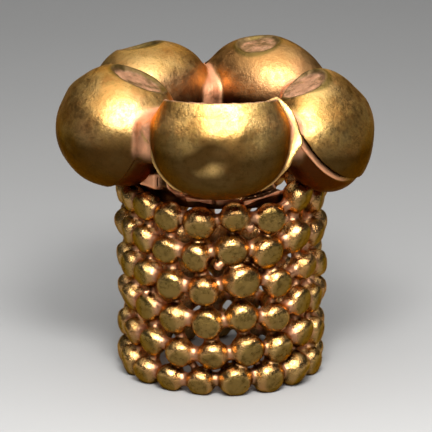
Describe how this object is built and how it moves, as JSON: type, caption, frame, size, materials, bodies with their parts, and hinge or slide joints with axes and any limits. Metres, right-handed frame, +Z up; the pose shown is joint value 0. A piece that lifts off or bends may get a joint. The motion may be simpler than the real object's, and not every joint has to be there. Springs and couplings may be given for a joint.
{
  "type": "gold bead",
  "caption": "Ancient gold bead: an openwork tube of soldered granule rings, crowned by a ring of hollow sheet-gold lobes round an open bore.",
  "frame": {"origin": "on the bore's axis, in the plane that the lowest ring of granules stands on", "axes": "+Z up the bore, from the tube to the crown of lobes; -Y is the front that the picture shows; +X is its right"},
  "size_m": [0.0086, 0.0085, 0.0089],
  "materials": {
    "granule_gold": "worn gold granules, flats polished, hollows reddish",
    "solder_gold": "matt reddish gold, as left by the soldering",
    "sheet_gold": "worn gold sheet, satin, brownish film"
  },
  "bodies": {
    "root": {"granule_ring_1": "granule_gold", "granule_ring_2": "granule_gold", "granule_ring_3": "granule_gold", "granule_ring_4": "granule_gold", "granule_ring_5": "granule_gold", "granule_ring_6": "granule_gold", "collar": "solder_gold", "lobe_front": "sheet_gold", "lobe_right": "sheet_gold", "lobe_back_right": "sheet_gold", "lobe_back_left": "sheet_gold", "lobe_left": "sheet_gold"}
  },
  "joints": []
}
